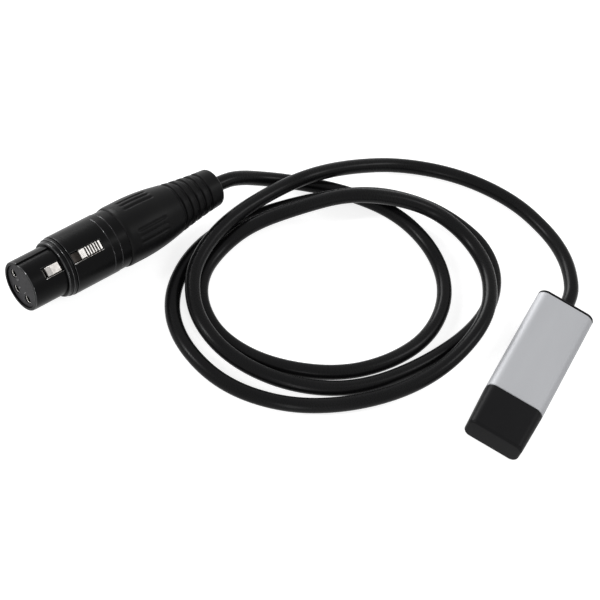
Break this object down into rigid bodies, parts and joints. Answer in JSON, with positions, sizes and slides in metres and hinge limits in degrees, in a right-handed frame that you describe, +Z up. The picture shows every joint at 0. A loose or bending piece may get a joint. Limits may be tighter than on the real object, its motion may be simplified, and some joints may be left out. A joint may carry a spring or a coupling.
{
  "type": "usb dmx interface",
  "caption": "Stick-shaped USB lighting-control interface in an aluminium sleeve, with a loosely looped black cable to a latching audio-style cable socket.",
  "frame": {"origin": "under the middle of the interface housing, on the surface that everything rests on", "axes": "+Y along the housing from the USB plug towards the cable, +Z up, +X across the housing"},
  "size_m": [0.1586, 0.1347, 0.0195],
  "materials": {
    "anodised_aluminium": "satin silver anodised extrusion",
    "black_plastic": "fine-textured black moulding",
    "plated_steel": "bright nickel plating",
    "tongue_plastic": "plain white moulding",
    "gold_plating": "gold-plated strip",
    "board_laminate": "green solder mask",
    "chip_moulding": "dull black package",
    "capacitor_ceramic": "tan ceramic",
    "resistor_glaze": "black glaze",
    "cable_jacket": "satin black flexible jacket",
    "tie_nylon": "natural nylon",
    "wire_black": "smooth insulation",
    "wire_white": "smooth insulation",
    "wire_red": "smooth insulation",
    "black_shell_metal": "satin black coated zinc casting",
    "ring_plastic": "satin black ring",
    "insert_plastic": "dull dark grey moulding",
    "silver_plating": "silver-plated turned socket",
    "latch_metal": "nickel-plated die-cast latch",
    "spring_steel": "blued leaf spring",
    "bushing_plastic": "hard black moulding",
    "chuck_plastic": "grey acetal",
    "boot_rubber": "satin black rubber"
  },
  "bodies": {
    "root": {"case_sleeve": "anodised_aluminium", "front_bezel": "black_plastic", "usb_plug_shell": "plated_steel", "usb_tongue": "tongue_plastic", "usb_contacts": "gold_plating", "circuit_board": "board_laminate", "usb_chip": "chip_moulding", "line_driver_chip": "chip_moulding", "crystal": "plated_steel", "chip_capacitors": "capacitor_ceramic", "chip_resistors": "resistor_glaze", "rear_end_cap": "black_plastic", "cable_end_in_case": "cable_jacket", "cable_tie": "tie_nylon", "case_wire_ground": "wire_black", "case_wire_minus": "wire_white", "case_wire_plus": "wire_red", "cable": "cable_jacket", "connector_shell": "black_shell_metal", "marking_ring": "ring_plastic", "connector_insert": "insert_plastic", "contact_1": "silver_plating", "contact_2": "silver_plating", "contact_3": "silver_plating", "latch_spring": "spring_steel", "boot_bushing": "bushing_plastic", "cable_chuck": "chuck_plastic", "cable_boot": "boot_rubber", "cable_end_in_connector": "cable_jacket", "connector_wire_ground": "wire_black", "connector_wire_minus": "wire_white", "connector_wire_plus": "wire_red"},
    "cap": {"usb_cap": "black_plastic"},
    "latch": {"latch_lever": "latch_metal"}
  },
  "joints": [
    {"name": "cap_pull", "type": "slide", "parent": "root", "child": "cap", "axis": [0, -1, 0], "range_m": [0, 0.016]},
    {"name": "latch_press", "type": "hinge", "parent": "root", "child": "latch", "pos_m": [-0.12952, -0.04745, 0.01489], "axis": [0.8455, -0.3552, -0.3987], "range_deg": [0, 4], "stiffness_Nm_per_rad": 0.02, "springref_deg": -5.73, "deforming": ["latch_spring"]}
  ]
}
